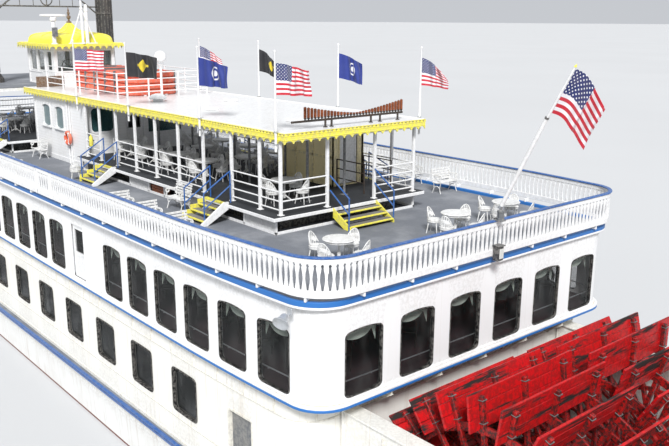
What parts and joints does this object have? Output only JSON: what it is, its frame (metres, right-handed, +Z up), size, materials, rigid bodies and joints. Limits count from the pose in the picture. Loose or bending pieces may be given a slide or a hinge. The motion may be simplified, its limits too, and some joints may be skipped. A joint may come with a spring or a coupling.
{
  "type": "stern paddle steamer, 1:2 scale model",
  "caption": "Three-deck river passenger boat with a red stern paddle wheel, balustraded promenade, canopied upper deck, domed pilothouse and twin stacks.",
  "frame": {"origin": "on the waterline, on the centreline, amidships", "axes": "+X forward to the bow, +Y to port, +Z up"},
  "size_m": [28.955, 6.62, 9.85],
  "materials": {
    "white_paint": "semi-gloss marine enamel",
    "cream_paint": "semi-gloss marine enamel, aged",
    "blue_paint": "gloss enamel",
    "grey_deck_paint": "non-slip deck paint",
    "black_deck_paint": "non-slip deck paint",
    "yellow_paint": "gloss enamel",
    "black_paint": "heat-worn enamel",
    "red_paint": "gloss enamel, worn at the planks",
    "dark_glass": "tinted",
    "copper": "tarnished copper",
    "orange_float": "sun-faded",
    "flag_cloth": "woven flag cloth",
    "engine_steel": "painted casting"
  },
  "bodies": {
    "vessel": {"hull": "white_paint", "saloon_walls": "white_paint", "promenade_rail_aft": "white_paint", "promenade_rail_forward": "white_paint", "roof": "white_paint", "roof_posts_port": "white_paint", "roof_posts_starboard": "white_paint", "bridge_deck": "white_paint", "bridge_posts": "white_paint", "bridge_rail": "white_paint", "deckhouse_walls": "white_paint", "pilothouse_walls": "white_paint", "mast": "white_paint", "radar_post": "white_paint", "ensign_staff": "white_paint", "jackstaff": "white_paint", "flagstaff_port_1": "white_paint", "flagstaff_port_2": "white_paint", "flagstaff_port_3": "white_paint", "flagstaff_port_4": "white_paint", "flagstaff_starboard_1": "white_paint", "flagstaff_starboard_2": "white_paint", "flagstaff_starboard_3": "white_paint", "flagstaff_starboard_4": "white_paint", "main_cabin_walls": "cream_paint", "companion_house": "cream_paint", "wheel_beam_port": "cream_paint", "wheel_beam_starboard": "cream_paint", "main_deck": "blue_paint", "second_deck": "blue_paint", "promenade_deck": "grey_deck_paint", "raised_deck_aft": "black_deck_paint", "raised_deck_forward": "black_deck_paint", "roof_fascia": "yellow_paint", "pilothouse_dome": "yellow_paint", "stack_port": "black_paint", "stack_starboard": "black_paint", "stack_spreader": "black_paint", "capstan": "black_paint", "bitts_port": "black_paint", "bitts_starboard": "black_paint", "main_cabin_glazing": "dark_glass", "saloon_glazing": "dark_glass", "deckhouse_glazing": "dark_glass", "pilothouse_glazing": "dark_glass", "calliope": "copper", "life_floats": "orange_float", "ensign": "flag_cloth", "engine": "engine_steel"},
    "wheel": {"paddle_wheel": "red_paint"},
    "radar": {"radar_scanner": "white_paint"},
    "port_rudder": {"rudder_port": "black_paint"},
    "starboard_rudder": {"rudder_starboard": "black_paint"},
    "port_saloon_door": {"saloon_door_port": "white_paint"},
    "starboard_saloon_door": {"saloon_door_starboard": "white_paint"},
    "deckhouse_door_leaf": {"deckhouse_door": "white_paint"},
    "companion_door_leaf": {"companion_door": "white_paint"},
    "pilothouse_door_leaf": {"pilothouse_door": "white_paint"},
    "port_gate": {"boarding_gate_port": "white_paint"},
    "starboard_gate": {"boarding_gate_starboard": "white_paint"}
  },
  "joints": [
    {"name": "wheel_turn", "type": "hinge", "parent": "vessel", "child": "wheel", "pos_m": [-12.625, 0, 1.275], "axis": [0, 1, 0], "continuous": true},
    {"name": "radar_turn", "type": "hinge", "parent": "vessel", "child": "radar", "pos_m": [1.575, 0.775, 7.125], "axis": [0, 0, 1], "continuous": true},
    {"name": "port_rudder_turn", "type": "hinge", "parent": "vessel", "child": "port_rudder", "pos_m": [-9.8, 1.6, -0.35], "axis": [0, 0, 1], "range_deg": [-35, 35]},
    {"name": "starboard_rudder_turn", "type": "hinge", "parent": "vessel", "child": "starboard_rudder", "pos_m": [-9.8, -1.6, -0.35], "axis": [0, 0, 1], "range_deg": [-35, 35]},
    {"name": "port_saloon_door_swing", "type": "hinge", "parent": "vessel", "child": "port_saloon_door", "pos_m": [-4.4185, 3.09, 3.15], "axis": [0, 0, 1], "range_deg": [-95, 0]},
    {"name": "starboard_saloon_door_swing", "type": "hinge", "parent": "vessel", "child": "starboard_saloon_door", "pos_m": [-4.4185, -3.09, 3.15], "axis": [0, 0, 1], "range_deg": [0, 95]},
    {"name": "deckhouse_door_swing", "type": "hinge", "parent": "vessel", "child": "deckhouse_door_leaf", "pos_m": [-1.19, 0.006, 4.7], "axis": [0, 0, 1], "range_deg": [0, 95]},
    {"name": "companion_door_swing", "type": "hinge", "parent": "vessel", "child": "companion_door_leaf", "pos_m": [-7.045, -0.731, 4.7], "axis": [0, 0, 1], "range_deg": [-95, 0]},
    {"name": "pilothouse_door_swing", "type": "hinge", "parent": "vessel", "child": "pilothouse_door_leaf", "pos_m": [2.194, 0.76, 5.9], "axis": [0, 0, 1], "range_deg": [-95, 0]},
    {"name": "port_gate_swing", "type": "hinge", "parent": "vessel", "child": "port_gate", "pos_m": [-3.465, 3.2475, 4.3], "axis": [0, 0, 1], "range_deg": [0, 95]},
    {"name": "starboard_gate_swing", "type": "hinge", "parent": "vessel", "child": "starboard_gate", "pos_m": [-3.465, -3.2475, 4.3], "axis": [0, 0, 1], "range_deg": [-95, 0]}
  ]
}
